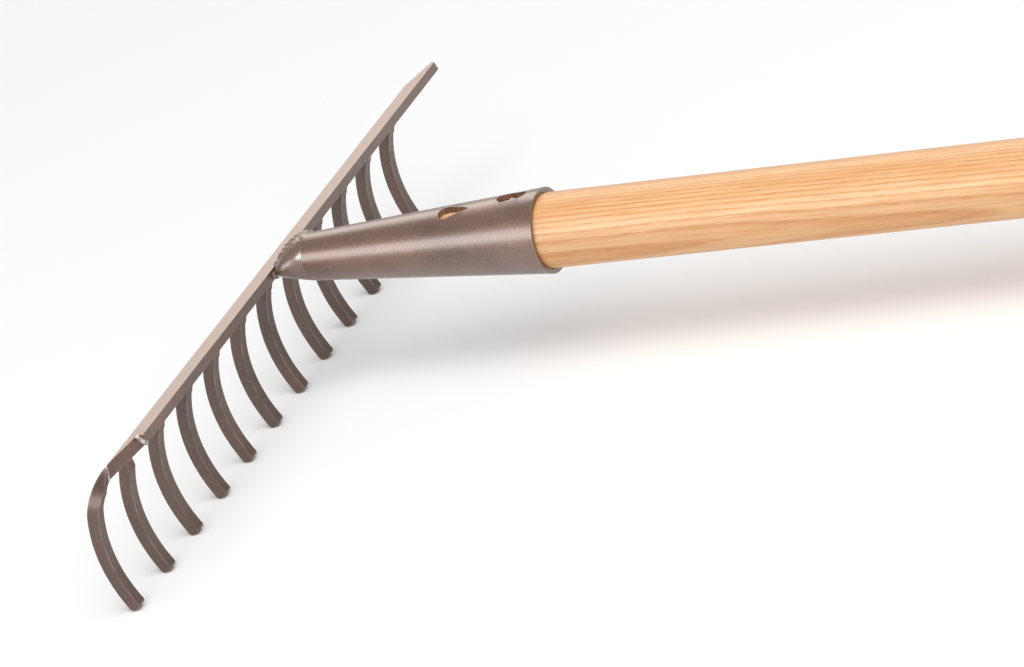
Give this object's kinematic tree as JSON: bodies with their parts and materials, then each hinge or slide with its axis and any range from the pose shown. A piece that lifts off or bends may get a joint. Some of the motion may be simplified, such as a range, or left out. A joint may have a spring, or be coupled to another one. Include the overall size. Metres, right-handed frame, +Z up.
{
  "type": "garden rake",
  "caption": "Level-head garden rake: steel bar with curved tines, conical socket with cut-outs, round ash handle.",
  "frame": {"origin": "on the floor, under the middle of the rake's outline, with the rake lying on its tine tips and on the free end of its handle", "axes": "+Z up, Y along the handle from the head to the free end, X along the bar with tine 1 at +X"},
  "size_m": [0.3282, 1.5118, 0.0628],
  "materials": {
    "head_paint": "satin metallic brown grey",
    "weld_metal": "painted over, rippled",
    "ash_wood": "smooth, clear waxed",
    "nail_steel": "plain steel"
  },
  "bodies": {
    "root": {"head_bar": "head_paint", "tine_01": "head_paint", "tine_02": "head_paint", "tine_03": "head_paint", "tine_04": "head_paint", "tine_05": "head_paint", "tine_06": "head_paint", "tine_07": "head_paint", "tine_08": "head_paint", "tine_09": "head_paint", "tine_10": "head_paint", "tine_11": "head_paint", "tine_12": "head_paint", "end_tine_weld": "weld_metal", "socket": "head_paint", "socket_weld": "weld_metal", "handle": "ash_wood", "handle_nail": "nail_steel"}
  },
  "joints": []
}
